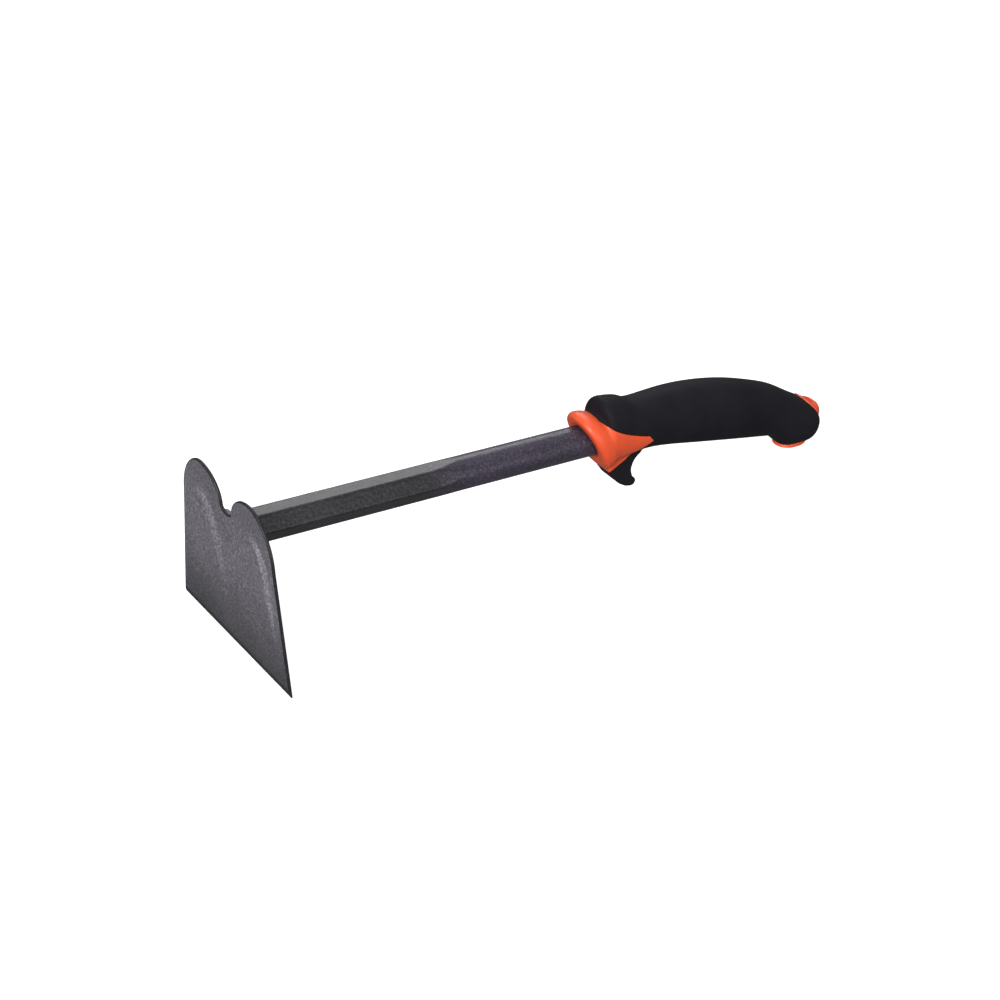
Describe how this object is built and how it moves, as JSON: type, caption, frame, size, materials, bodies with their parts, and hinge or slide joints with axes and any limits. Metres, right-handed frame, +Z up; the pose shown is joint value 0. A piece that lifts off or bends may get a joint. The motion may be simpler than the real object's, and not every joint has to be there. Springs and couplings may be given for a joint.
{
  "type": "grub hoe",
  "caption": "One-hand grub hoe: twin-lobed pressed blade welded to a tubular shank, with a contoured soft-grip handle, finger hook and hang hole.",
  "frame": {"origin": "on the floor that the tool rests on, under the middle of its length and on its centre plane", "axes": "+X from the blade to the butt of the handle, +Y across the tool, +Z up as it rests on its cutting edge and on the foot of the butt"},
  "size_m": [0.3362, 0.097, 0.085],
  "materials": {
    "hammered_coat": "dark grey hammered powder coat on steel, semi-gloss",
    "plug_plastic": "natural moulded plastic",
    "pin_steel": "drawn steel pin",
    "orange_plastic": "hard orange plastic, satin",
    "soft_black": "soft-touch black thermoplastic rubber, fine matte texture"
  },
  "bodies": {
    "root": {"blade": "hammered_coat", "blade_weld": "hammered_coat", "shank_tube": "hammered_coat", "tube_plug": "plug_plastic", "lock_pin": "pin_steel", "handle_core": "orange_plastic", "grip_overmould": "soft_black", "finger_hook": "soft_black"}
  },
  "joints": []
}
